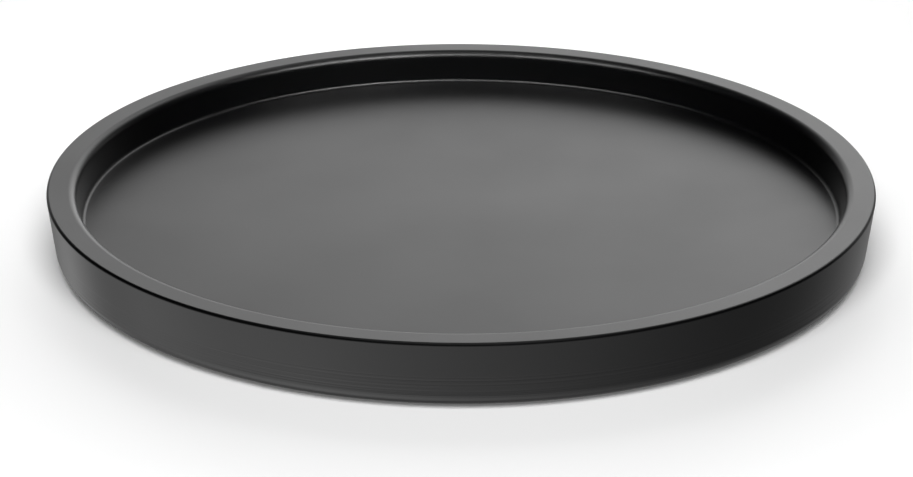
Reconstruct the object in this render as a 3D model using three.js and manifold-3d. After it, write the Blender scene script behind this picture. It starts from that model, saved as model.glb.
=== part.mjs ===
// Round serving tray in black-lacquered wood, built in two layers.
// A base board carries a rim of six glued arc segments.  Dowels locate the rim on the board, loose
// tongues join the segments end to end, and four screwed rubber feet are let into the underside.
// Units are millimetres, +Z is up, and the origin is on the table, under the tray's centre.

import * as THREE from 'three';
import { mergeVertices } from 'three/addons/utils/BufferGeometryUtils.js';
import Module from 'manifold-3d';

const wasm = await Module();
wasm.setup();

// ---- driving dimensions ----
const TRAY_RADIUS = 200;          // widest radius, just under the rim's top edge
const BOARD_THICKNESS = 15.6;
const RIM_HEIGHT = 16.4;          // from the floor to the rim's top
const FOOT_PROUD = 1;             // how far the feet hold the board off the table
const GLUE_LINE = 0.2;            // between glued faces
const FIT = 0.2;                  // radial room round dowels, tongues and feet

const OUTER_LEAN = THREE.MathUtils.degToRad(6.8);  // the outside wall leans in on its way down
const INNER_LEAN = THREE.MathUtils.degToRad(8.5);  // and so does the inside wall
const TOP_FALL = THREE.MathUtils.degToRad(1.5);    // the rim's top falls towards the middle
const RIM_INNER_RADIUS = 185.4;   // at the rim's inside top edge
const OUTER_EDGE_ROUND = 1.3;
const INNER_EDGE_ROUND = 4.5;
const FLOOR_COVE = 2.0;           // cove where the inside wall meets the floor
const SEAT_DEPTH = 0.4;           // how far the rim is let into the board
const BOTTOM_EDGE_ROUND = 7;

const SEGMENT_COUNT = 6;
const STEPS_PER_SEGMENT = 16;

const DOWEL_RADIUS = 3;
const DOWEL_LENGTH = 18;
const DOWEL_CHAMFER = 0.8;
const DOWELS_PER_SEGMENT = 2;
const DOWEL_SPREAD = THREE.MathUtils.degToRad(36);  // between the two dowels of a segment

const TONGUE_LENGTH = 24;
const TONGUE_WIDTH = 8;
const TONGUE_THICKNESS = 4;

const FOOT_COUNT = 4;
const FOOT_CIRCLE_RADIUS = 160;
const FOOT_RADIUS = 10;
const FOOT_HEIGHT = 4;
const FOOT_WELL_RADIUS = 5;       // hollow under the foot that holds the screw's head
const FOOT_WELL_DEPTH = 2.4;
const FOOT_WELL_CHAMFER = 0.4;
const FOOT_EDGE_ROUND = 0.8;
const WASHER_RADIUS = 4.6;
const WASHER_THICKNESS = 0.7;
const SCREW_RADIUS = 1.5;
const SCREW_HOLE_RADIUS = 1.7;
const SCREW_REACH = 11;           // from under the head to the tip
const SCREW_HEAD_RADIUS = 3;
const SCREW_HEAD_HEIGHT = 1.2;
const SCREW_HEAD_ROUND = 0.8;
const SCREW_POINT_LENGTH = 3;
const RECESS_DEPTH = 0.8;         // cross recess in the screw's head
const RECESS_LENGTH = 3.6;
const RECESS_WIDTH = 0.7;

// ---- how finely the round shapes are divided ----
const EDGE_STEPS = 3;
const SMALL_EDGE_STEPS = 2;
const BOTTOM_EDGE_STEPS = 5;
const SMALL_HOLE_SIDES = 12;
const SCREW_SIDES = 16;
const FOOT_SIDES = 24;
const TONGUE_END_STEPS = 5;

// ---- heights and radii that follow ----
const BOARD_BOTTOM = FOOT_PROUD;
const FLOOR = BOARD_BOTTOM + BOARD_THICKNESS;
const SEAT = FLOOR - SEAT_DEPTH;
const RIM_BOTTOM = SEAT + GLUE_LINE;
const RIM_TOP = FLOOR + RIM_HEIGHT;
const SEGMENT_ANGLE = (2 * Math.PI) / SEGMENT_COUNT;
const SLACK = 1;                  // how far a cutting tool overshoots a free face

const material = (color, roughness, metalness) =>
  new THREE.MeshStandardMaterial({ color, roughness, metalness });

const lacquer = material(0x18181a, 0.38, 0.0);
const beech = material(0xc79a63, 0.7, 0.0);
const rubber = material(0x1c1c1c, 0.9, 0.0);
const zincSteel = material(0xb4b6b8, 0.35, 0.9);

const tray = new THREE.Group();

function addPiece(name, geometry, look, parent = tray) {
  const mesh = new THREE.Mesh(geometry, look);
  mesh.name = name;
  parent.add(mesh);
  return mesh;
}

// ---- solids: joining and cutting ----
function toSolid(geometry, matrix) {
  const bare = geometry.clone();
  if (matrix) bare.applyMatrix4(matrix);
  bare.deleteAttribute('normal');
  bare.deleteAttribute('uv');
  const merged = mergeVertices(bare, 1e-4);
  return new wasm.Manifold(new wasm.Mesh({
    numProp: 3,
    vertProperties: new Float32Array(merged.attributes.position.array),
    triVerts: new Uint32Array(merged.index.array),
  }));
}

function toGeometry(solid) {
  const mesh = solid.getMesh();
  const geometry = new THREE.BufferGeometry();
  geometry.setAttribute('position', new THREE.BufferAttribute(mesh.vertProperties, 3));
  geometry.setIndex(new THREE.BufferAttribute(mesh.triVerts, 1));
  return geometry;
}

function cut(geometry, tools) {
  let solid = toSolid(geometry);
  for (const tool of tools) solid = solid.subtract(tool);
  return toGeometry(solid);
}

// An upright cylinder from one height to another at a place on the plan.
function uprightCylinder(radius, low, high, angle, circle, sides) {
  const geometry = new THREE.CylinderGeometry(radius, radius, high - low, sides);
  const matrix = new THREE.Matrix4()
    .makeTranslation(circle * Math.cos(angle), circle * Math.sin(angle), (low + high) / 2)
    .multiply(new THREE.Matrix4().makeRotationX(Math.PI / 2));
  return toSolid(geometry, matrix);
}

// ---- profiles: lists of [radius, height] ----
// Points on a circular arc, with angles in degrees from the radial direction, both ends included.
function arc(centreRadius, centreHeight, radius, from, to, steps) {
  const points = [];
  for (let i = 0; i <= steps; i += 1) {
    const angle = THREE.MathUtils.degToRad(from + ((to - from) * i) / steps);
    points.push([centreRadius + radius * Math.cos(angle), centreHeight + radius * Math.sin(angle)]);
  }
  return points;
}

const outerLeanDegrees = THREE.MathUtils.radToDeg(OUTER_LEAN);
const innerLeanDegrees = THREE.MathUtils.radToDeg(INNER_LEAN);
const topFallDegrees = THREE.MathUtils.radToDeg(TOP_FALL);

// The outside wall hangs from the top edge round's lowest point and leans in below it.
const outerTop = [
  TRAY_RADIUS - OUTER_EDGE_ROUND * (1 - Math.cos(OUTER_LEAN)),
  RIM_TOP - OUTER_EDGE_ROUND * (1 + Math.sin(OUTER_LEAN)),
];
const outerRadiusAt = (height) => outerTop[0] - (outerTop[1] - height) * Math.tan(OUTER_LEAN);

// The two edge rounds of the rim, by the centres of their arcs.  The top runs straight from one to the
// other, and the inside one lies lower by the top's fall.
const outerRoundCentre = [TRAY_RADIUS - OUTER_EDGE_ROUND, RIM_TOP - OUTER_EDGE_ROUND];
const roundsDiffer = INNER_EDGE_ROUND - OUTER_EDGE_ROUND;
const innerRoundRadius = RIM_INNER_RADIUS + INNER_EDGE_ROUND;
const topRun = outerRoundCentre[0] - innerRoundRadius + roundsDiffer * Math.sin(TOP_FALL);
const innerRoundCentre = [
  innerRoundRadius,
  outerRoundCentre[1] - roundsDiffer * Math.cos(TOP_FALL) - topRun * Math.tan(TOP_FALL),
];

// The inside wall starts under the inside edge round.
const innerTop = [
  innerRoundCentre[0] - INNER_EDGE_ROUND * Math.cos(INNER_LEAN),
  innerRoundCentre[1] + INNER_EDGE_ROUND * Math.sin(INNER_LEAN),
];
const innerRadiusAt = (height) => innerTop[0] - (innerTop[1] - height) * Math.tan(INNER_LEAN);

// The cove is a hollow quarter round that ends level on the floor.
const coveHeight = FLOOR + FLOOR_COVE;
const coveTopHeight = coveHeight - FLOOR_COVE * Math.sin(INNER_LEAN);
const coveRadius = innerRadiusAt(coveTopHeight) - FLOOR_COVE * Math.cos(INNER_LEAN);

// The board's edge is planed down into a seat for the rim, so the serving floor is a disc of its own.
function boardProfile() {
  const roundHeight = BOARD_BOTTOM + BOTTOM_EDGE_ROUND;
  const tangentHeight = roundHeight - BOTTOM_EDGE_ROUND * Math.sin(OUTER_LEAN);
  const centreRadius = outerRadiusAt(tangentHeight) - BOTTOM_EDGE_ROUND * Math.cos(OUTER_LEAN);
  return [
    [0, BOARD_BOTTOM],
    ...arc(centreRadius, roundHeight, BOTTOM_EDGE_ROUND, -90, -outerLeanDegrees, BOTTOM_EDGE_STEPS),
    [outerRadiusAt(SEAT), SEAT],
    [coveRadius - GLUE_LINE, SEAT],
    [coveRadius - GLUE_LINE, FLOOR],
    [0, FLOOR],
  ];
}

function rimProfile() {
  return [
    [coveRadius, RIM_BOTTOM],
    [outerRadiusAt(RIM_BOTTOM), RIM_BOTTOM],
    ...arc(...outerRoundCentre, OUTER_EDGE_ROUND, -outerLeanDegrees, 90, EDGE_STEPS),
    ...arc(...innerRoundCentre, INNER_EDGE_ROUND, 90 + topFallDegrees, 180 - innerLeanDegrees, EDGE_STEPS),
    ...arc(coveRadius, coveHeight, FLOOR_COVE, -innerLeanDegrees, -90, EDGE_STEPS),
  ];
}

// A full turn of a profile that starts and ends on the axis, standing on +Z.
function turn(profile, steps) {
  const points = profile.map(([radius, height]) => new THREE.Vector2(radius, height));
  const geometry = new THREE.LatheGeometry(points, steps);
  geometry.rotateX(Math.PI / 2);
  return geometry;
}

// ---- where the hidden joints lie ----
const segmentMiddle = (index) => (index + 0.5) * SEGMENT_ANGLE;
const dowelCircle = (innerRadiusAt(FLOOR) + outerRadiusAt(FLOOR)) / 2;
const dowelBottom = FLOOR - DOWEL_LENGTH / 2;
const dowelTop = FLOOR + DOWEL_LENGTH / 2;
const tongueHeight = FLOOR + RIM_HEIGHT / 2;
const tongueCircle = (innerRadiusAt(tongueHeight) + outerRadiusAt(tongueHeight)) / 2;

const dowelAngles = [];
for (let s = 0; s < SEGMENT_COUNT; s += 1) {
  for (let d = 0; d < DOWELS_PER_SEGMENT; d += 1) {
    dowelAngles.push(segmentMiddle(s) + (d - (DOWELS_PER_SEGMENT - 1) / 2) * DOWEL_SPREAD);
  }
}

const footAngles = [];
for (let f = 0; f < FOOT_COUNT; f += 1) {
  footAngles.push(((f + 0.5) * 2 * Math.PI) / FOOT_COUNT);
}

const dowelHoles = dowelAngles.map((angle) => uprightCylinder(
  DOWEL_RADIUS + FIT, dowelBottom - FIT, dowelTop + FIT, angle, dowelCircle, SMALL_HOLE_SIDES));

// A tongue lies level, with its length along the rim and rounded ends.
function tongueGeometry(room) {
  const half = TONGUE_LENGTH / 2 + room;
  const round = TONGUE_WIDTH / 2 + room;
  const outline = new THREE.Shape();
  outline.moveTo(-round, -(half - round));
  outline.absarc(0, -(half - round), round, Math.PI, 2 * Math.PI, false);
  outline.absarc(0, half - round, round, 0, Math.PI, false);
  outline.closePath();
  const thickness = TONGUE_THICKNESS + 2 * room;
  const geometry = new THREE.ExtrudeGeometry(outline, {
    depth: thickness, bevelEnabled: false, curveSegments: TONGUE_END_STEPS,
  });
  geometry.translate(tongueCircle, 0, tongueHeight - thickness / 2);
  return geometry;
}

// ---- base board ----
const footPocketTop = FOOT_HEIGHT + GLUE_LINE;
const screwTip = FOOT_WELL_DEPTH - WASHER_THICKNESS + SCREW_REACH;
const boardTools = [...dowelHoles];
for (const angle of footAngles) {
  boardTools.push(uprightCylinder(
    FOOT_RADIUS + FIT, BOARD_BOTTOM - SLACK, footPocketTop, angle, FOOT_CIRCLE_RADIUS, FOOT_SIDES));
  boardTools.push(uprightCylinder(SCREW_HOLE_RADIUS, footPocketTop - SLACK, screwTip + FIT,
    angle, FOOT_CIRCLE_RADIUS, SMALL_HOLE_SIDES));
}
const boardBlank = turn(boardProfile(), SEGMENT_COUNT * STEPS_PER_SEGMENT);
addPiece('base_board', cut(boardBlank, boardTools), lacquer);

// ---- rim segments ----
// One closed ring is turned and sawn into segments, with a glue line between their ends.
function ringGeometry() {
  const profile = rimProfile();
  profile.push(profile[0]);
  return turn(profile, SEGMENT_COUNT * STEPS_PER_SEGMENT);
}

// The ring blank is sawn on vertical planes through the axis.
function sawBlades() {
  const blades = [];
  for (let s = 0; s < SEGMENT_COUNT; s += 1) {
    const length = TRAY_RADIUS;
    const blade = new THREE.BoxGeometry(length, GLUE_LINE, 4 * RIM_HEIGHT);
    const matrix = new THREE.Matrix4()
      .makeRotationZ(s * SEGMENT_ANGLE)
      .multiply(new THREE.Matrix4().makeTranslation(length / 2 + SLACK, 0, tongueHeight));
    blades.push(toSolid(blade, matrix));
  }
  return blades;
}

const tongueSlots = [];
for (let s = 0; s < SEGMENT_COUNT; s += 1) {
  tongueSlots.push(toSolid(tongueGeometry(FIT), new THREE.Matrix4().makeRotationZ(s * SEGMENT_ANGLE)));
}

let rimSolid = toSolid(ringGeometry());
for (const tool of [...sawBlades(), ...dowelHoles, ...tongueSlots]) {
  rimSolid = rimSolid.subtract(tool);
}

// The sawn segments are told apart by the direction in which each one lies.
const segmentSolids = [];
for (const piece of rimSolid.decompose()) {
  const box = piece.boundingBox();
  const middle = Math.atan2(box.min[1] + box.max[1], box.min[0] + box.max[0]);
  const turned = (middle + 2 * Math.PI) % (2 * Math.PI);
  segmentSolids[Math.floor(turned / SEGMENT_ANGLE)] = piece;
}
segmentSolids.forEach((solid, s) => {
  addPiece(`rim_segment_${s + 1}`, toGeometry(solid), lacquer);
});

// ---- loose tongues and dowels ----
for (let s = 0; s < SEGMENT_COUNT; s += 1) {
  const tongue = addPiece(`rim_tongue_${s + 1}`, tongueGeometry(0), beech);
  tongue.rotation.z = s * SEGMENT_ANGLE;
}

dowelAngles.forEach((angle, d) => {
  const dowel = addPiece(`rim_dowel_${d + 1}`, turn([
    [0, dowelBottom],
    [DOWEL_RADIUS - DOWEL_CHAMFER, dowelBottom],
    [DOWEL_RADIUS, dowelBottom + DOWEL_CHAMFER],
    [DOWEL_RADIUS, dowelTop - DOWEL_CHAMFER],
    [DOWEL_RADIUS - DOWEL_CHAMFER, dowelTop],
    [0, dowelTop],
  ], SMALL_HOLE_SIDES), beech);
  dowel.position.set(dowelCircle * Math.cos(angle), dowelCircle * Math.sin(angle), 0);
});

// ---- feet ----
// A foot is a rubber disc with soft edges and a hollow underneath for the washer and the screw's head.
function footProfile() {
  const edge = FOOT_EDGE_ROUND;
  return [
    [SCREW_HOLE_RADIUS, FOOT_WELL_DEPTH],
    [FOOT_WELL_RADIUS, FOOT_WELL_DEPTH],
    [FOOT_WELL_RADIUS, FOOT_WELL_CHAMFER],
    [FOOT_WELL_RADIUS + FOOT_WELL_CHAMFER, 0],
    ...arc(FOOT_RADIUS - edge, edge, edge, -90, 0, SMALL_EDGE_STEPS),
    ...arc(FOOT_RADIUS - edge, FOOT_HEIGHT - edge, edge, 0, 90, SMALL_EDGE_STEPS),
    [SCREW_HOLE_RADIUS, FOOT_HEIGHT],
    [SCREW_HOLE_RADIUS, FOOT_WELL_DEPTH],
  ];
}

const washerTop = FOOT_WELL_DEPTH - GLUE_LINE / 2;
const washerBottom = washerTop - WASHER_THICKNESS;
const headSeat = washerBottom - GLUE_LINE / 2;

function washerProfile() {
  return [
    [SCREW_HOLE_RADIUS, washerBottom],
    [WASHER_RADIUS, washerBottom],
    [WASHER_RADIUS, washerTop],
    [SCREW_HOLE_RADIUS, washerTop],
    [SCREW_HOLE_RADIUS, washerBottom],
  ];
}

// The pan head hangs under the washer, and the shank points up into the board.
function screwProfile() {
  const headBottom = headSeat - SCREW_HEAD_HEIGHT;
  const tip = headSeat + SCREW_REACH;
  return [
    [0, headBottom],
    ...arc(SCREW_HEAD_RADIUS - SCREW_HEAD_ROUND, headBottom + SCREW_HEAD_ROUND, SCREW_HEAD_ROUND,
      -90, 0, SMALL_EDGE_STEPS),
    [SCREW_HEAD_RADIUS, headSeat],
    [SCREW_RADIUS, headSeat],
    [SCREW_RADIUS, tip - SCREW_POINT_LENGTH],
    [0, tip],
  ];
}

// The cross recess is two crossed slots in the head.
function crossRecess() {
  const low = headSeat - SCREW_HEAD_HEIGHT - SLACK;
  const high = headSeat - SCREW_HEAD_HEIGHT + RECESS_DEPTH;
  const lift = new THREE.Matrix4().makeTranslation(0, 0, (low + high) / 2);
  const along = new THREE.BoxGeometry(RECESS_LENGTH, RECESS_WIDTH, high - low);
  const across = new THREE.BoxGeometry(RECESS_WIDTH, RECESS_LENGTH, high - low);
  return toSolid(along, lift).add(toSolid(across, lift));
}

const screwGeometry = cut(turn(screwProfile(), SCREW_SIDES), [crossRecess()]);
footAngles.forEach((angle, f) => {
  const place = new THREE.Group();
  place.position.set(FOOT_CIRCLE_RADIUS * Math.cos(angle), FOOT_CIRCLE_RADIUS * Math.sin(angle), 0);
  tray.add(place);
  addPiece(`foot_${f + 1}`, turn(footProfile(), FOOT_SIDES), rubber, place);
  addPiece(`foot_washer_${f + 1}`, turn(washerProfile(), SCREW_SIDES), zincSteel, place);
  addPiece(`foot_screw_${f + 1}`, screwGeometry.clone(), zincSteel, place);
});

export default tray;
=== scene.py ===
"""Round black-lacquered serving tray: looks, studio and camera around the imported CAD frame."""

import math

import bpy
from mathutils import Matrix, Vector
from mathutils.geometry import tessellate_polygon


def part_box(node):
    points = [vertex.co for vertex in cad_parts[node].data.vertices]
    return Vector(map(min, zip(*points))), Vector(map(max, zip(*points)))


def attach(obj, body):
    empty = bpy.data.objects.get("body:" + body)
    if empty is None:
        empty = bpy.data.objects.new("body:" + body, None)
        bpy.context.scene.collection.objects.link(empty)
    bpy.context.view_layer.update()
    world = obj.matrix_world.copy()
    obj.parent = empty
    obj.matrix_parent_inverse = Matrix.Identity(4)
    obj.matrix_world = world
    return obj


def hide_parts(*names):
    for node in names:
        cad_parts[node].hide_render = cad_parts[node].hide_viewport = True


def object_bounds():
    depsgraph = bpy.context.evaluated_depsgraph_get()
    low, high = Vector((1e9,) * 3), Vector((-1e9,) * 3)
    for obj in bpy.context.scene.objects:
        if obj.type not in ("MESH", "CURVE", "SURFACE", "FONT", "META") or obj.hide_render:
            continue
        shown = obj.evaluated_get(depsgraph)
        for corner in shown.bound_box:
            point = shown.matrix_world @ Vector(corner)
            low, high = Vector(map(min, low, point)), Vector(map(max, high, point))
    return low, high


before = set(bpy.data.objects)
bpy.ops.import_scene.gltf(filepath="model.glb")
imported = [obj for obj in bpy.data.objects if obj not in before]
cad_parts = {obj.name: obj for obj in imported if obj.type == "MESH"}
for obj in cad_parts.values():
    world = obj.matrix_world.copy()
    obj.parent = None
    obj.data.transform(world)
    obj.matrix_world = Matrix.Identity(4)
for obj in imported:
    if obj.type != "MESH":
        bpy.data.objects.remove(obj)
cad_low, cad_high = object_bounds()

MM = 0.001
TURN = 2 * math.pi
UP, DOWN = Vector((0, 0, 1)), Vector((0, 0, -1))

# ---- sizes: from the frame where it has them, otherwise as the CAD's source gives them ----
RADIUS = 200 * MM                              # widest, just under the rim's top edge
RIM_TOP = cad_high.z
BOARD_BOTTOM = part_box("base_board")[0].z
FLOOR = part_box("base_board")[1].z
OUTER_LEAN = math.radians(6.8)                 # both walls lean in on their way down
INNER_LEAN = math.radians(8.5)
TOP_FALL = math.radians(1.5)                   # the rim's top falls towards the middle
RIM_INNER_RADIUS = 185.4 * MM
OUTER_ROUND = 1.3 * MM
INNER_ROUND = 4.5 * MM
COVE = 2.0 * MM
BOTTOM_ROUND = 7 * MM

SEGMENTS = 6
SEGMENT_ANGLE = TURN / SEGMENTS
HOLE_ROOM = 0.2 * MM                           # round dowels, tongues and feet
SCREW_HOLE = 1.7 * MM
POCKET_LIP = 0.4 * MM                          # the softened mouth of a foot's pocket

# ---- how finely round shapes are divided ----
STEPS = 60                                     # round one rim segment
BOTTOM_STEPS = 20                              # over the round bottom edge
ARC_STEPS = 12                                 # over the rim's edge rounds and cove
HOLE_STEPS = 32                                # round a dowel or screw hole
POCKET_STEPS = 48                              # round a foot's pocket
WASHER_STEPS = 64
SCREW_STEPS = 48
GROOVE_STEPS = 8                               # over a groove or a screw head's crown
EDGE_STEPS = 6                                 # over the edge of a foot or a washer
LIP_STEPS = 4                                  # over the smallest edges


# ---- meshes: faces with a normal at each corner, welded into one closed surface ----
class Surface:
    """Gathers faces whose corners are (point, normal) pairs, and makes one smooth-shaded mesh of them."""

    def __init__(self, place=Matrix()):
        self.place = place
        self.points, self.index, self.faces, self.normals = [], {}, [], []

    def _point(self, p):
        key = tuple(round(c * 1e7) for c in p)
        if key not in self.index:
            self.index[key] = len(self.points)
            self.points.append(Vector(p))
        return self.index[key]

    def face(self, corners):
        """Adds a face, turned so that it faces the way its corners' normals point."""
        ids, normals = [], []
        for p, n in corners:
            i = self._point(p)
            if i not in ids:
                ids.append(i)
                normals.append(Vector(n))
        if len(ids) < 3:
            return
        area = Vector()
        for a, b in zip(ids, ids[1:] + ids[:1]):
            area += self.points[a].cross(self.points[b])
        if area.dot(sum(normals, Vector())) < 0:
            ids.reverse()
            normals.reverse()
        self.faces.append(ids)
        self.normals.extend(normals)

    def grid(self, rows):
        """Adds quads between neighbouring rows of (point, normal) pairs."""
        for above, below in zip(rows, rows[1:]):
            for i in range(len(above) - 1):
                self.face([above[i], above[i + 1], below[i + 1], below[i]])

    def flat(self, outline, normal, holes=()):
        """Adds a flat area with holes in it. outline and holes are lists of points."""
        loops = [[Vector(p) for p in loop] for loop in (outline, *holes)]
        points = [p for loop in loops for p in loop]
        for triangle in tessellate_polygon(loops):
            self.face([(points[i], normal) for i in triangle])

    def build(self, name):
        turn = self.place.to_3x3()
        mesh = bpy.data.meshes.new(name)
        mesh.from_pydata([self.place @ p for p in self.points], [], self.faces)
        mesh.shade_smooth()
        mesh.normals_split_custom_set([(turn @ n).normalized() for n in self.normals])
        piece = bpy.data.objects.new(name, mesh)
        bpy.context.scene.collection.objects.link(piece)
        return piece


def spin(angle, radius, height, centre=(0, 0)):
    """The point at an angle and a radius about an upright axis."""
    return Vector((centre[0] + radius * math.cos(angle), centre[1] + radius * math.sin(angle), height))


def angles(start, end, steps):
    return [start + (end - start) * i / steps for i in range(steps + 1)]


def circle(radius, height, steps, centre=(0, 0)):
    return [spin(a, radius, height, centre) for a in angles(0, TURN, steps)[:-1]]


# A run of a profile is a list of (radius, height, normal's radial part, normal's upward part).
def line(r0, z0, r1, z1, out):
    return [(r0, z0, out[0], out[1]), (r1, z1, out[0], out[1])]


def slope(r0, z0, r1, z1):
    """A straight run, facing to the right of its way from the first point to the second."""
    length = math.hypot(r1 - r0, z1 - z0)
    return line(r0, z0, r1, z1, ((z1 - z0) / length, (r0 - r1) / length))


def arc(r, z, size, start, end, steps=ARC_STEPS, hollow=False):
    """A round run about (r, z), between two angles in radians. A hollow arc faces its centre."""
    sign = -1 if hollow else 1
    return [
        (r + size * math.cos(a), z + size * math.sin(a), sign * math.cos(a), sign * math.sin(a))
        for a in angles(start, end, steps)
    ]


def fluted(a, radius, count, depth):
    """How far shallow upright flutes dip below a round surface at an angle, and how its normal leans."""
    dip = depth * 0.5 * (1 - math.cos(count * a))
    lean = depth * 0.5 * count * math.sin(count * a) / max(radius, MM)
    return dip, Vector((-math.sin(a), math.cos(a), 0)) * lean


def revolve(surface, run, turns, centre=(0, 0), flutes=0, depth=0.0):
    """Adds the surface that a run sweeps through the angles in turns, with upright flutes if asked."""
    def corner(a, r, z, nr, nz):
        dip, lean = fluted(a, r, flutes, depth)
        return spin(a, r - dip, z, centre), Vector((nr * math.cos(a), nr * math.sin(a), nz)) + lean * nr

    surface.grid([[corner(a, *point) for a in turns] for point in run])


def fluted_wall(surface, radius, bottom, top, turns, centre, flutes, depth):
    """Adds an upright round wall whose flutes die out at its two ends."""
    def corner(a, z, share):
        dip, lean = fluted(a, radius, flutes, share * depth)
        return spin(a, radius - dip, z, centre), spin(a, 1, 0) + lean

    rows = ((bottom, 0), (bottom + depth, 1), (top - depth, 1), (top, 0))
    surface.grid([[corner(a, z, share) for a in turns] for z, share in rows])


# ---- the tray's profile ----
outer_top = (
    RADIUS - OUTER_ROUND * (1 - math.cos(OUTER_LEAN)),
    RIM_TOP - OUTER_ROUND * (1 + math.sin(OUTER_LEAN)),
)
outer_round = (RADIUS - OUTER_ROUND, RIM_TOP - OUTER_ROUND)      # the centres of the rim's two edge rounds
rounds_differ = INNER_ROUND - OUTER_ROUND
top_run = outer_round[0] - RIM_INNER_RADIUS - INNER_ROUND + rounds_differ * math.sin(TOP_FALL)
inner_round = (
    RIM_INNER_RADIUS + INNER_ROUND,
    outer_round[1] - rounds_differ * math.cos(TOP_FALL) - top_run * math.tan(TOP_FALL),
)
inner_top = (
    inner_round[0] - INNER_ROUND * math.cos(INNER_LEAN),
    inner_round[1] + INNER_ROUND * math.sin(INNER_LEAN),
)


def outer_radius(z):
    return outer_top[0] - (outer_top[1] - z) * math.tan(OUTER_LEAN)


def inner_radius(z):
    return inner_top[0] - (inner_top[1] - z) * math.tan(INNER_LEAN)


outer_out = (math.cos(OUTER_LEAN), -math.sin(OUTER_LEAN))
inner_out = (-math.cos(INNER_LEAN), math.sin(INNER_LEAN))
cove_z = FLOOR + COVE
cove_top = cove_z - COVE * math.sin(INNER_LEAN)
cove_r = inner_radius(cove_top) - COVE * math.cos(INNER_LEAN)
round_z = BOARD_BOTTOM + BOTTOM_ROUND
round_top = round_z - BOTTOM_ROUND * math.sin(OUTER_LEAN)
round_r = outer_radius(round_top) - BOTTOM_ROUND * math.cos(OUTER_LEAN)


def middle(node):
    """Where a node stands on the plan."""
    low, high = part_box(node)
    return tuple(((low + high) / 2).xy)


def numbered(name, count):
    return [f"{name}_{n}" for n in range(1, count + 1)]


FEET = 4
DOWELS = 12
foot_places = [middle(node) for node in numbered("foot", FEET)]
dowel_places = [middle(node) for node in numbered("rim_dowel", DOWELS)]
foot_radius = (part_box("foot_1")[1].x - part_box("foot_1")[0].x) / 2
dowel_radius = (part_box("rim_dowel_1")[1].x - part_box("rim_dowel_1")[0].x) / 2
foot_hole = foot_radius + HOLE_ROOM
dowel_hole = dowel_radius + HOLE_ROOM


def blind_hole(surface, radius, mouth, end, centre, steps=HOLE_STEPS):
    """The wall and the end of a round hole that goes straight up or down from its mouth."""
    revolve(surface, line(radius, mouth, radius, end, (-1, 0)), angles(0, TURN, steps), centre)
    surface.flat(circle(radius, end, steps, centre), UP if mouth > end else DOWN)


def board_piece():
    """The base board, with its round bottom edge, its foot pockets and its dowel holes."""
    s = Surface()
    pocket_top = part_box("foot_1")[1].z + HOLE_ROOM
    screw_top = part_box("foot_screw_1")[1].z + HOLE_ROOM
    dowel_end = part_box("rim_dowel_1")[0].z - HOLE_ROOM
    steps = SEGMENTS * STEPS
    turns = angles(0, TURN, steps)
    mouth = foot_hole + POCKET_LIP
    s.flat(circle(round_r, BOARD_BOTTOM, steps), DOWN,
           [circle(mouth, BOARD_BOTTOM, POCKET_STEPS, c) for c in foot_places])
    revolve(s, arc(round_r, round_z, BOTTOM_ROUND, -math.pi / 2, -OUTER_LEAN, BOTTOM_STEPS), turns)
    revolve(s, line(outer_radius(round_top), round_top, outer_radius(FLOOR), FLOOR, outer_out), turns)
    s.flat(circle(outer_radius(FLOOR), FLOOR, steps), UP,
           [circle(dowel_hole, FLOOR, HOLE_STEPS, c) for c in dowel_places])
    for c in dowel_places:
        blind_hole(s, dowel_hole, FLOOR, dowel_end, c)
    turns = angles(0, TURN, POCKET_STEPS)
    lip_top = BOARD_BOTTOM + POCKET_LIP
    for c in foot_places:
        revolve(s, arc(mouth, lip_top, POCKET_LIP, -math.pi / 2, -math.pi, LIP_STEPS), turns, c)
        revolve(s, line(foot_hole, lip_top, foot_hole, pocket_top, (-1, 0)), turns, c)
        s.flat(circle(foot_hole, pocket_top, POCKET_STEPS, c), DOWN,
               [circle(SCREW_HOLE, pocket_top, HOLE_STEPS, c)])
        blind_hole(s, SCREW_HOLE, pocket_top, screw_top, c)
    return s.build("base_board_finished")


rim_runs = [
    arc(cove_r, cove_z, COVE, -math.pi / 2, -INNER_LEAN, hollow=True),
    line(inner_radius(cove_top), cove_top, *inner_top, inner_out),
    arc(*inner_round, INNER_ROUND, math.pi - INNER_LEAN, math.pi / 2 + TOP_FALL),
    line(
        inner_round[0] - INNER_ROUND * math.sin(TOP_FALL), inner_round[1] + INNER_ROUND * math.cos(TOP_FALL),
        outer_round[0] - OUTER_ROUND * math.sin(TOP_FALL), outer_round[1] + OUTER_ROUND * math.cos(TOP_FALL),
        (-math.sin(TOP_FALL), math.cos(TOP_FALL)),
    ),
    arc(*outer_round, OUTER_ROUND, math.pi / 2 + TOP_FALL, -OUTER_LEAN),
    line(*outer_top, outer_radius(FLOOR), FLOOR, outer_out),
]


def rim_piece(number):
    """One arc segment of the rim, with the slots for its tongues in its ends and its dowel holes."""
    s = Surface()
    start = (number - 1) * SEGMENT_ANGLE
    turns = angles(start, start + SEGMENT_ANGLE, STEPS)
    for run in rim_runs:
        revolve(s, run, turns)
    mine = [c for c in dowel_places if start < math.atan2(c[1], c[0]) % TURN < start + SEGMENT_ANGLE]
    dowel_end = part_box("rim_dowel_1")[1].z + HOLE_ROOM
    outer = outer_radius(FLOOR)
    outline = [spin(a, outer, FLOOR) for a in turns] + [spin(a, cove_r, FLOOR) for a in reversed(turns)]
    s.flat(outline, DOWN, [circle(dowel_hole, FLOOR, HOLE_STEPS, c) for c in mine])
    for c in mine:
        blind_hole(s, dowel_hole, FLOOR, dowel_end, c)
    for angle, sign in ((turns[0], -1), (turns[-1], 1)):
        outline = [spin(angle, r, z) for run in rim_runs for r, z, _, _ in run[:-1]]
        outline.append(spin(angle, outer, FLOOR))
        rim_end(s, outline, angle, Vector((-math.sin(angle), math.cos(angle), 0)) * sign)
    return s.build(f"rim_segment_{number}_finished")


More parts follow.
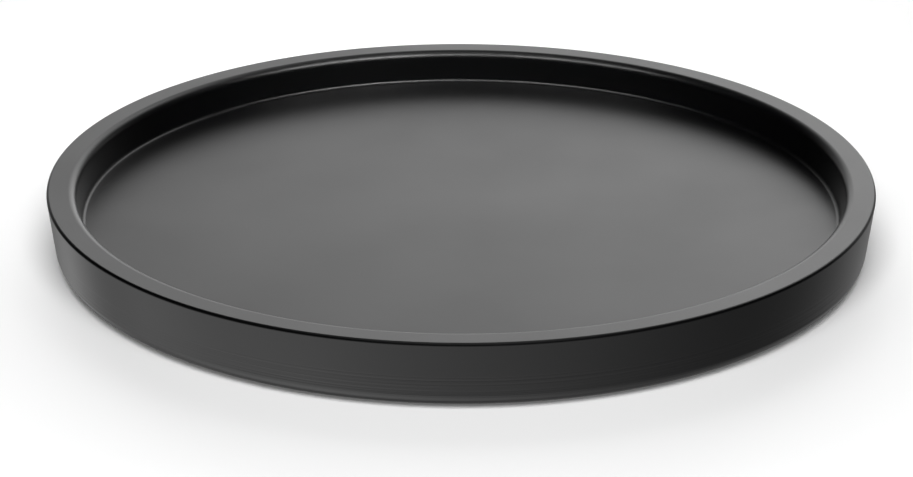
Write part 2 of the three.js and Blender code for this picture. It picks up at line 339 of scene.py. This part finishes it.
def stadium(half_length, half_width, steps=16):
    """One end of a tongue's outline: (across, along, normal across, normal along), from side to side."""
    straight = half_length - half_width
    corners = [(-half_width, 0, -1, 0)]
    corners += [
        (half_width * math.cos(a), straight + half_width * math.sin(a), math.cos(a), math.sin(a))
        for a in angles(math.pi, 0, steps)
    ]
    return corners + [(half_width, 0, 1, 0)]


def rim_end(s, outline, angle, out):
    """A rim segment's end face, and the slot in it for half a loose tongue."""
    low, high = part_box("rim_tongue_1")
    z0, z1 = low.z - HOLE_ROOM, high.z + HOLE_ROOM
    radial = Vector((math.cos(angle), math.sin(angle), 0))
    path = stadium((high.y - low.y) / 2 + HOLE_ROOM, (high.x - low.x) / 2 + HOLE_ROOM)

    def at(x, y, z):
        return radial * ((high.x + low.x) / 2 + x) - out * y + Vector((0, 0, z))

    (x0, *_), (x1, *_) = path[0], path[-1]
    s.flat(outline, out, [[at(x0, 0, z0), at(x1, 0, z0), at(x1, 0, z1), at(x0, 0, z1)]])
    s.grid([[(at(x, y, z), out * ny - radial * nx) for x, y, nx, ny in path] for z in (z0, z1)])
    s.flat([at(x, y, z0) for x, y, _, _ in path], UP)
    s.flat([at(x, y, z1) for x, y, _, _ in path], DOWN)


def tongue_piece(number):
    """A loose tongue with rounded ends and a small chamfer all round."""
    low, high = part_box("rim_tongue_1")
    s = Surface(Matrix.Rotation((number - 1) * SEGMENT_ANGLE, 4, "Z"))
    chamfer = 0.5 * MM
    centre = (high.x + low.x) / 2

    def loop(inset, z, nz):
        half = stadium((high.y - low.y) / 2 - inset, (high.x - low.x) / 2 - inset)
        whole = half + [(-x, -y, -nx, -ny) for x, y, nx, ny in half[1:]]
        return [(Vector((centre + x, y, z)), Vector((nx, ny, nz))) for x, y, nx, ny in whole]

    for rows in (
        [loop(chamfer, low.z, -1), loop(0, low.z + chamfer, -1)],
        [loop(0, low.z + chamfer, 0), loop(0, high.z - chamfer, 0)],
        [loop(0, high.z - chamfer, 1), loop(chamfer, high.z, 1)],
    ):
        s.grid(rows)
    s.flat([p for p, _ in loop(chamfer, low.z, 0)][:-1], DOWN)
    s.flat([p for p, _ in loop(chamfer, high.z, 0)][:-1], UP)
    return s.build(f"rim_tongue_{number}_finished")


def dowel_piece(number):
    """A fluted dowel with chamfered ends."""
    low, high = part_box("rim_dowel_1")
    centre = dowel_places[number - 1]
    chamfer, flutes, flute_depth, steps_per_flute = 0.8 * MM, 16, 0.2 * MM, 6
    turns = angles(0, TURN, flutes * steps_per_flute)
    s = Surface()
    tip = dowel_radius - chamfer
    for run in (
        slope(tip, low.z, dowel_radius, low.z + chamfer),
        slope(dowel_radius, low.z + chamfer, dowel_radius, high.z - chamfer),
        slope(dowel_radius, high.z - chamfer, tip, high.z),
    ):
        revolve(s, run, turns, centre, flutes, flute_depth)
    for z, normal in ((low.z, DOWN), (high.z, UP)):
        dips = [fluted(a, tip, flutes, flute_depth)[0] for a in turns[:-1]]
        s.flat([spin(a, tip - dip, z, centre) for a, dip in zip(turns, dips)], normal)
    return s.build(f"rim_dowel_{number}_finished")


def foot_piece(number):
    """A rubber foot: soft edges, fine flutes round its side, two grip grooves and a well for the screw."""
    low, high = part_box("foot_1")
    s = Surface()
    centre = foot_places[number - 1]
    well, well_top = 5 * MM, low.z + 2.4 * MM
    edge, lip = 0.8 * MM, 0.4 * MM
    groove, groove_circles = 0.35 * MM, (6.6 * MM, 8.0 * MM)
    flutes, flute_depth, steps_per_flute = 32, 0.12 * MM, 4
    turns = angles(0, TURN, flutes * steps_per_flute)
    runs = [
        line(SCREW_HOLE, well_top, well, well_top, (0, -1)),
        line(well, well_top, well, low.z + lip, (-1, 0)),
        arc(well + lip, low.z + lip, lip, math.pi, 1.5 * math.pi, LIP_STEPS),
    ]
    inside = well + lip
    for at in groove_circles:
        runs.append(line(inside, low.z, at - groove, low.z, (0, -1)))
        runs.append(arc(at, low.z, groove, math.pi, 0, GROOVE_STEPS, hollow=True))
        inside = at + groove
    runs += [
        line(inside, low.z, foot_radius - edge, low.z, (0, -1)),
        arc(foot_radius - edge, low.z + edge, edge, -math.pi / 2, 0, EDGE_STEPS),
    ]
    for run in runs:
        revolve(s, run, turns, centre)
    fluted_wall(s, foot_radius, low.z + edge, high.z - edge, turns, centre, flutes, flute_depth)
    for run in (
        arc(foot_radius - edge, high.z - edge, edge, 0, math.pi / 2, EDGE_STEPS),
        line(foot_radius - edge, high.z, SCREW_HOLE, high.z, (0, 1)),
        line(SCREW_HOLE, high.z, SCREW_HOLE, well_top, (-1, 0)),
    ):
        revolve(s, run, turns, centre)
    return s.build(f"foot_{number}_finished")


def washer_piece(number):
    """A flat washer with one stamped round edge."""
    low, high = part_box("foot_washer_1")
    s = Surface()
    radius = (high.x - low.x) / 2
    edge, bevel = 0.3 * MM, 0.15 * MM
    for run in (
        line(SCREW_HOLE + bevel, low.z, radius - edge, low.z, (0, -1)),
        arc(radius - edge, low.z + edge, edge, -math.pi / 2, 0, EDGE_STEPS),
        slope(radius, low.z + edge, radius, high.z),
        line(radius, high.z, SCREW_HOLE, high.z, (0, 1)),
        line(SCREW_HOLE, high.z, SCREW_HOLE, low.z + bevel, (-1, 0)),
        slope(SCREW_HOLE, low.z + bevel, SCREW_HOLE + bevel, low.z),
    ):
        revolve(s, run, angles(0, TURN, WASHER_STEPS), foot_places[number - 1])
    return s.build(f"foot_washer_{number}_finished")


def screw_piece(number):
    """A pan-head wood screw: a cross recess in the head, and a thread that runs out at the point."""
    low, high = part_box("foot_screw_1")
    s = Surface()
    centre = foot_places[number - 1]
    head = (high.x - low.x) / 2
    crown, seat = 0.8 * MM, low.z + 1.2 * MM
    arm, arm_width, recess_top = 1.8 * MM, 0.35 * MM, low.z + 0.8 * MM
    arm_at_bottom, arm_width_at_bottom = arm * 0.55, arm_width * 0.6
    core, crest, pitch, point = 1.05 * MM, 1.5 * MM, 1.25 * MM, 3 * MM
    flank, tip_share, rows_of_shank = 3.2, 0.02, 110
    upright = 1e-12                            # how level a recess wall's normal may be and count as so
    turns = angles(0, TURN, SCREW_STEPS)

    def cross(size, width, z):
        """The outline of a four-armed cross."""
        quarter = [(width, width), (width, size), (-width, size)]
        points = []
        for k in range(4):
            c, d = math.cos(k * math.pi / 2), math.sin(k * math.pi / 2)
            points += [Vector((centre[0] + x * c - y * d, centre[1] + x * d + y * c, z)) for x, y in quarter]
        return points

    mouth = cross(arm, arm_width, low.z)
    bottom = cross(arm_at_bottom, arm_width_at_bottom, recess_top)
    s.flat(circle(head - crown, low.z, SCREW_STEPS, centre), DOWN, [mouth])
    for k in range(len(mouth)):
        ring = [mouth[k - 1], mouth[k], bottom[k], bottom[k - 1]]
        normal = (ring[1] - ring[0]).cross(ring[3] - ring[0])
        inward = Vector((*centre, low.z)) - (ring[0] + ring[2]) / 2
        if normal.z > 0 or (abs(normal.z) < upright and normal.dot(inward) < 0):
            normal.negate()
        s.face([(p, normal) for p in ring])
    s.flat(bottom, DOWN)
    revolve(s, arc(head - crown, low.z + crown, crown, -math.pi / 2, 0, GROOVE_STEPS), turns, centre)
    revolve(s, line(head, low.z + crown, head, seat, (1, 0)), turns, centre)
    revolve(s, line(head, seat, crest, seat, (0, 1)), turns, centre)

    def shank(a, z):
        """The thread's radius at an angle and a height."""
        wave = ((z - seat) / pitch - a / TURN) % 1.0
        thread = core + (crest - core) * max(0.0, 1 - flank * abs(wave - 0.5))
        start = min(1.0, (z - seat) / pitch)
        taper = min(1.0, max(tip_share, (high.z - z) / point))
        return (crest + (thread - crest) * start) * taper

    def shank_corner(a, z):
        """A point of the shank, and the normal that the shank's slopes give there."""
        da, dz = TURN / SCREW_STEPS / 2, pitch / 40
        slope_a = (shank(a + da, z) - shank(a - da, z)) / (2 * da * core)
        slope_z = (shank(a, z + dz) - shank(a, z - dz)) / (2 * dz)
        normal = spin(a, 1, 0) - Vector((-math.sin(a), math.cos(a), 0)) * slope_a - UP * slope_z
        return spin(a, shank(a, z), z, centre), normal

    heights = angles(seat, high.z, rows_of_shank)
    s.grid([[shank_corner(a, z) for a in turns] for z in heights])
    s.flat([shank_corner(a, high.z)[0] for a in turns[:-1]], UP)
    return s.build(f"foot_screw_{number}_finished")


# ---- materials ----
def new_material(name):
    material = bpy.data.materials.new(name)
    material.use_nodes = True
    nodes = material.node_tree.nodes
    return nodes, material.node_tree.links, nodes["Principled BSDF"], material


def object_place(nodes, links, stretch=(1, 1, 1)):
    """The place on the object, with each axis stretched."""
    mapping = nodes.new("ShaderNodeMapping")
    mapping.inputs["Scale"].default_value = stretch
    links.new(nodes.new("ShaderNodeTexCoord").outputs["Object"], mapping.inputs["Vector"])
    return mapping.outputs["Vector"]


def noise(nodes, links, vector, scale, detail=2.0, rough=0.5):
    node = nodes.new("ShaderNodeTexNoise")
    node.inputs["Scale"].default_value = scale
    node.inputs["Detail"].default_value = detail
    node.inputs["Roughness"].default_value = rough
    links.new(vector, node.inputs["Vector"])
    return node.outputs["Fac"]


def spread(nodes, links, value, low, high, from_low=0.3, from_high=0.7):
    """Maps a value from one range onto another."""
    node = nodes.new("ShaderNodeMapRange")
    for socket, number in zip(("From Min", "From Max", "To Min", "To Max"), (from_low, from_high, low, high)):
        node.inputs[socket].default_value = number
    links.new(value, node.inputs["Value"])
    return node.outputs["Result"]


def mix(nodes, links, factor, first, second, socket):
    """Mixes two colours into a socket."""
    node = nodes.new("ShaderNodeMixRGB")
    node.inputs["Color1"].default_value = (*first, 1)
    node.inputs["Color2"].default_value = (*second, 1)
    links.new(factor, node.inputs["Fac"])
    links.new(node.outputs["Color"], socket)


def bump(nodes, links, height, distance, below=None):
    node = nodes.new("ShaderNodeBump")
    node.inputs["Strength"].default_value = 1.0
    node.inputs["Distance"].default_value = distance
    links.new(height, node.inputs["Height"])
    if below is not None:
        links.new(below, node.inputs["Normal"])
    return node.outputs["Normal"]


# Colours run from a first to a second, gloss from the smoothest to the roughest, and bumps are depths.
LACQUER_COLOURS = (0.0005, 0.0005, 0.0006), (0.0012, 0.0012, 0.0013)
LACQUER_GLOSS = 0.31, 0.35
LACQUER_IOR = 1.5
ORANGE_PEEL_BUMP = 0.004 * MM
EDGE_LINE_BUMP = 0.12 * MM
EDGE_LINE_STRETCH = (4.0, 4.0, 900.0)          # long round the edge, and close together up it
BEECH_COLOURS = (0.42, 0.25, 0.12), (0.66, 0.45, 0.25)
BEECH_GLOSS = 0.6, 0.8
GRAIN_BUMP = 0.05 * MM
RUBBER_COLOURS = (0.012, 0.012, 0.012), (0.022, 0.021, 0.02)
RUBBER_GLOSS = 0.7, 0.9
MOULDED_BUMP = 0.03 * MM
ZINC_COLOURS = (0.58, 0.60, 0.62), (0.66, 0.64, 0.56)
ZINC_GLOSS = 0.22, 0.38
SCRATCH_BUMP = 0.01 * MM
SCRATCH_STRETCH = (3000.0, 3000.0, 200.0)


def lacquer(name, edge_lines):
    """Satin black lacquer: a faint orange peel, a slightly uneven gloss, and level lines over a ply edge."""
    nodes, links, shader, material = new_material(name)
    place = object_place(nodes, links)
    shader.inputs["IOR"].default_value = LACQUER_IOR
    clouds = noise(nodes, links, place, 9.0, 3.0)
    mix(nodes, links, clouds, *LACQUER_COLOURS, shader.inputs["Base Color"])
    gloss = spread(nodes, links, noise(nodes, links, place, 14.0, 4.0), *LACQUER_GLOSS)
    links.new(gloss, shader.inputs["Roughness"])
    normal = bump(nodes, links, noise(nodes, links, place, 900.0, 1.0), ORANGE_PEEL_BUMP)
    if edge_lines:
        level = noise(nodes, links, object_place(nodes, links, EDGE_LINE_STRETCH), 1.0, 3.0, 0.6)
        normal = bump(nodes, links, level, EDGE_LINE_BUMP, normal)
    links.new(normal, shader.inputs["Normal"])
    return material


def wood(name, grain):
    """Plain beech: fine grain along one axis, darker pores and a dry surface."""
    nodes, links, shader, material = new_material(name)
    along = object_place(nodes, links, grain)
    pores = noise(nodes, links, along, 1.0, 4.0, 0.6)
    mix(nodes, links, pores, *BEECH_COLOURS, shader.inputs["Base Color"])
    links.new(spread(nodes, links, noise(nodes, links, along, 2.0), *BEECH_GLOSS), shader.inputs["Roughness"])
    links.new(bump(nodes, links, noise(nodes, links, along, 3.0), GRAIN_BUMP), shader.inputs["Normal"])
    return material


def rubber(name):
    """Matt black rubber with a fine moulded grain."""
    nodes, links, shader, material = new_material(name)
    place = object_place(nodes, links)
    mix(nodes, links, noise(nodes, links, place, 60.0), *RUBBER_COLOURS, shader.inputs["Base Color"])
    gloss = spread(nodes, links, noise(nodes, links, place, 300.0), *RUBBER_GLOSS)
    links.new(gloss, shader.inputs["Roughness"])
    grain = noise(nodes, links, place, 1500.0, 3.0)
    links.new(bump(nodes, links, grain, MOULDED_BUMP), shader.inputs["Normal"])
    return material


def zinc(name):
    """Bright zinc plating: pale metal with a faint warm bloom and fine scratches."""
    nodes, links, shader, material = new_material(name)
    place = object_place(nodes, links)
    shader.inputs["Metallic"].default_value = 1.0
    bloom = noise(nodes, links, place, 200.0, 3.0)
    mix(nodes, links, bloom, *ZINC_COLOURS, shader.inputs["Base Color"])
    gloss = spread(nodes, links, noise(nodes, links, place, 500.0), *ZINC_GLOSS)
    links.new(gloss, shader.inputs["Roughness"])
    scratches = noise(nodes, links, object_place(nodes, links, SCRATCH_STRETCH), 1.0)
    links.new(bump(nodes, links, scratches, SCRATCH_BUMP), shader.inputs["Normal"])
    return material


LACQUER_ON_BOARD = lacquer("lacquer_on_board", edge_lines=True)
LACQUER_ON_RIM = lacquer("lacquer_on_rim", edge_lines=False)
BEECH_UPRIGHT = wood("beech_dowel", grain=(900.0, 900.0, 60.0))
BEECH_LEVEL = wood("beech_tongue", grain=(120.0, 120.0, 900.0))
RUBBER = rubber("foot_rubber")
ZINC = zinc("zinc_steel")


def finish(piece, node, material):
    """Gives a detailed piece its material and puts it in the CAD node's place."""
    piece.data.materials.append(material)
    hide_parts(node)
    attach(piece, "root")


finish(board_piece(), "base_board", LACQUER_ON_BOARD)
for n in range(1, SEGMENTS + 1):
    finish(rim_piece(n), f"rim_segment_{n}", LACQUER_ON_RIM)
    finish(tongue_piece(n), f"rim_tongue_{n}", BEECH_LEVEL)
for n in range(1, DOWELS + 1):
    finish(dowel_piece(n), f"rim_dowel_{n}", BEECH_UPRIGHT)
for n in range(1, FEET + 1):
    finish(foot_piece(n), f"foot_{n}", RUBBER)
    finish(washer_piece(n), f"foot_washer_{n}", ZINC)
    finish(screw_piece(n), f"foot_screw_{n}", ZINC)

# ---- camera ----
CAMERA_DISTANCE = 7.0 * RADIUS
CAMERA_ELEVATION = math.radians(22.254)
LENS = 112.53
FILM_WIDTH = 36
PAN, TILT, ROLL = math.radians(0.0905), math.radians(-0.0814), math.radians(-0.0917)


def add_camera():
    """Looks at the tray's underside centre, then pans, tilts and rolls a trifle off it."""
    back = Vector((0, -math.cos(CAMERA_ELEVATION), math.sin(CAMERA_ELEVATION)))
    right, ahead = Vector((1, 0, 0)), -back
    above = right.cross(ahead)
    ahead = Matrix.Rotation(PAN, 3, above) @ ahead
    right = Matrix.Rotation(PAN, 3, above) @ right
    ahead = Matrix.Rotation(TILT, 3, right) @ ahead
    above = right.cross(ahead)
    right = Matrix.Rotation(ROLL, 3, ahead) @ right
    above = Matrix.Rotation(ROLL, 3, ahead) @ above
    data = bpy.data.cameras.new("camera")
    data.lens = LENS
    data.sensor_width = FILM_WIDTH
    camera = bpy.data.objects.new("camera", data)
    bpy.context.scene.collection.objects.link(camera)
    place = Matrix((right, above, -ahead)).transposed().to_4x4()
    place.translation = back * CAMERA_DISTANCE + UP * BOARD_BOTTOM
    camera.matrix_world = place
    bpy.context.scene.camera = camera


add_camera()
bpy.context.scene.view_settings.view_transform = "Standard"

# ---- studio ----
FLOOR_SIZE = 30
FLOOR_WHITE = (0.9, 0.9, 0.9)
FLOOR_ROUGHNESS = 0.7
FLOOR_SPECULAR = 0.1
# Painted shade under the tray: a disc seen only in reflections, glowing dimly in place of the shaded table.
SHADE_RADIUS = 196.5 * MM
SHADE_HEIGHT = 0.3 * MM
SHADE_SIDES = 96
SHADE_GLOW = 0.3


def studio_floor():
    """The pale table, wide enough to have no edge in sight, which the lacquer doesn't mirror."""
    half = FLOOR_SIZE / 2
    corners = [(-half, -half, 0), (half, -half, 0), (half, half, 0), (-half, half, 0)]
    mesh = bpy.data.meshes.new("studio_floor")
    mesh.from_pydata(corners, [], [range(len(corners))])
    floor = bpy.data.objects.new("studio_floor", mesh)
    bpy.context.scene.collection.objects.link(floor)
    _, _, shader, material = new_material("white_table")
    shader.inputs["Base Color"].default_value = (*FLOOR_WHITE, 1)
    shader.inputs["Roughness"].default_value = FLOOR_ROUGHNESS
    shader.inputs["Specular IOR Level"].default_value = FLOOR_SPECULAR
    mesh.materials.append(material)
    floor.visible_glossy = False


studio_floor()


# Broad soft lights that only the lacquer mirrors: compass bearing (0 is behind the tray, 90 to its
# right), elevation, how sharply each fades away from its middle, and strength.  The ones under the
# horizon stand for the pale table top, as the walls of the rim see it, and end at the horizon.
HORIZON_BLUR = 0.08                 # how softly they end there, as a height on the unit sphere
SOFTBOXES = {
    "window_behind": (9, 19.5, 23.4, 2.0),
    "window_low": (-10, 12, 97, 1.30),
    "horizon_behind_left": (-25, 3, 80, 0.8),
    "horizon_behind": (10, 3, 80, 1.8),
    "horizon_behind_right": (45, 3, 80, 0.6),
    "lamp_behind_right": (34, 43, 46, 2.25),
    "ceiling": (137, 89, 19, 0.91),
    "room_in_front": (165, 48, 18, 0.40),
    "table_behind": (20, -41, 7.2, 0.67),
    "table_behind_left": (-40, -28, 40, 0.96),
    "table_left": (-83, -25, 25, 1.02),
    "table_front_left": (-121, -50, 7.4, 1.51),
    "table_front_right": (170, -57, 4.2, 0.94),
}


def toward(bearing, elevation):
    """The direction with a bearing and an elevation, both in degrees."""
    bearing, elevation = math.radians(bearing), math.radians(elevation)
    level = math.cos(elevation)
    return Vector((math.sin(bearing) * level, math.cos(bearing) * level, math.sin(elevation)))


def shade_under_tray():
    """Painted shade: a dimly glowing disc in place of the shaded table under the tray, which only the rounded
    bottom edge of the board mirrors.
    """
    disc = bpy.data.meshes.new("shade_under_tray")
    disc.from_pydata(circle(SHADE_RADIUS, SHADE_HEIGHT, SHADE_SIDES), [], [range(SHADE_SIDES)])
    shade = bpy.data.objects.new("shade_under_tray", disc)
    bpy.context.scene.collection.objects.link(shade)
    _, _, shader, material = new_material("painted_shade_disc")
    shader.inputs["Base Color"].default_value = (0.0, 0.0, 0.0, 1)
    shader.inputs["Specular IOR Level"].default_value = 0.0
    shader.inputs["Emission Color"].default_value = (1, 1, 1, 1)
    shader.inputs["Emission Strength"].default_value = SHADE_GLOW
    disc.materials.append(material)
    shade.visible_camera = False
    shade.visible_diffuse = False
    shade.visible_shadow = False


def studio_world():
    """A sum of soft glows, seen by reflections and never by the table's diffuse light."""
    world = bpy.data.worlds.new("studio")
    bpy.context.scene.world = world
    world.use_nodes = True
    nodes, links = world.node_tree.nodes, world.node_tree.links
    ray = nodes.new("ShaderNodeTexCoord").outputs["Generated"]

    def calculate(operation, a, b, c=0.0):
        node = nodes.new("ShaderNodeMath")
        node.operation = operation
        for socket, value in zip(node.inputs, (a, b, c)):
            if isinstance(value, float):
                socket.default_value = value
            else:
                links.new(value, socket)
        return node.outputs[0]

    height = nodes.new("ShaderNodeSeparateXYZ")
    links.new(ray, height.inputs[0])
    depth = calculate("MAXIMUM", calculate("MULTIPLY", height.outputs["Z"], -1 / HORIZON_BLUR), 0.0)
    under_horizon = calculate("MINIMUM", depth, 1.0)

    total = None
    for bearing, elevation, focus, strength in SOFTBOXES.values():
        aim = nodes.new("ShaderNodeVectorMath")
        aim.operation = "DOT_PRODUCT"
        links.new(ray, aim.inputs[0])
        aim.inputs[1].default_value = toward(bearing, elevation)
        fade = calculate("MULTIPLY_ADD", aim.outputs["Value"], float(focus), -float(focus))
        glow = calculate("POWER", math.e, fade)
        if elevation < 0:
            glow = calculate("MULTIPLY", glow, under_horizon)
        total = calculate("MULTIPLY_ADD", glow, float(strength), 0.0 if total is None else total)
    background = nodes["Background"]
    background.inputs["Color"].default_value = (1, 1, 1, 1)
    links.new(total, background.inputs["Strength"])
    world.cycles_visibility.diffuse = False
    world.cycles.sampling_method = "NONE"


def soft_light(name, place, target, width, depth, power):
    """An area lamp that shines from one place towards another."""
    data = bpy.data.lights.new(name, "AREA")
    data.shape = "RECTANGLE"
    data.size, data.size_y = width, depth
    data.energy = power
    light = bpy.data.objects.new(name, data)
    bpy.context.scene.collection.objects.link(light)
    light.location = place
    light.rotation_euler = (Vector(target) - Vector(place)).to_track_quat("-Z", "Y").to_euler()
    light.visible_camera = False
    return light


# A bow of narrow lamps over the tray, whose glint runs along the far inside edge of the rim.
BOW_HEIGHT = 0.86
BOW_LAMP_SIZE = 0.22
BOW_SPREAD = math.radians(20)
BOW_POWERS = {-24: 0.05, -12: 0.075, 0: 0.02, 12: 0.04, 24: 0.035}   # by bearing, in degrees
BOW_EDGE_RADIUS = 0.187             # the rim's inside edge, where the lamps point
BOW_EDGE_SLOPE = 38                 # how far the glint's patch of the edge faces up, in degrees
VIEWER = toward(180, 20)            # where the glint is meant to be seen from


def bow_of_lamps():
    """Puts each lamp where the rim's inside edge, at its bearing, mirrors it towards the viewer."""
    for bearing, power in BOW_POWERS.items():
        target = toward(bearing, 0) * BOW_EDGE_RADIUS + UP * RIM_TOP
        facing = toward(bearing + 180, BOW_EDGE_SLOPE)
        ray = 2 * VIEWER.dot(facing) * facing - VIEWER
        place = target + ray * ((BOW_HEIGHT - target.z) / ray.z)
        lamp = soft_light(f"bow_lamp_{bearing}", place, target, BOW_LAMP_SIZE, BOW_LAMP_SIZE, power)
        lamp.data.spread = BOW_SPREAD


# Softboxes that light the table and stay out of the lacquer: place, width, depth and power.
TABLE_LIGHTS = {
    "over_front": ((0, -1.0, 1.2), 1.0, 1.0, 22.0),
    "over_back": ((0, 1.4, 1.2), 1.0, 1.0, 9.0),
    "low_back": ((0, 2.5, 0.6), 3.0, 0.8, 90.0),
    "low_front": ((0, -2.5, 0.4), 3.0, 0.6, 58.0),
}


def table_lights():
    """Lights the table, without showing in the lacquer."""
    for name, (place, width, depth, power) in TABLE_LIGHTS.items():
        soft_light(name, place, (0, 0, 0), width, depth, power).visible_glossy = False


shade_under_tray()
studio_world()
bow_of_lamps()
table_lights()
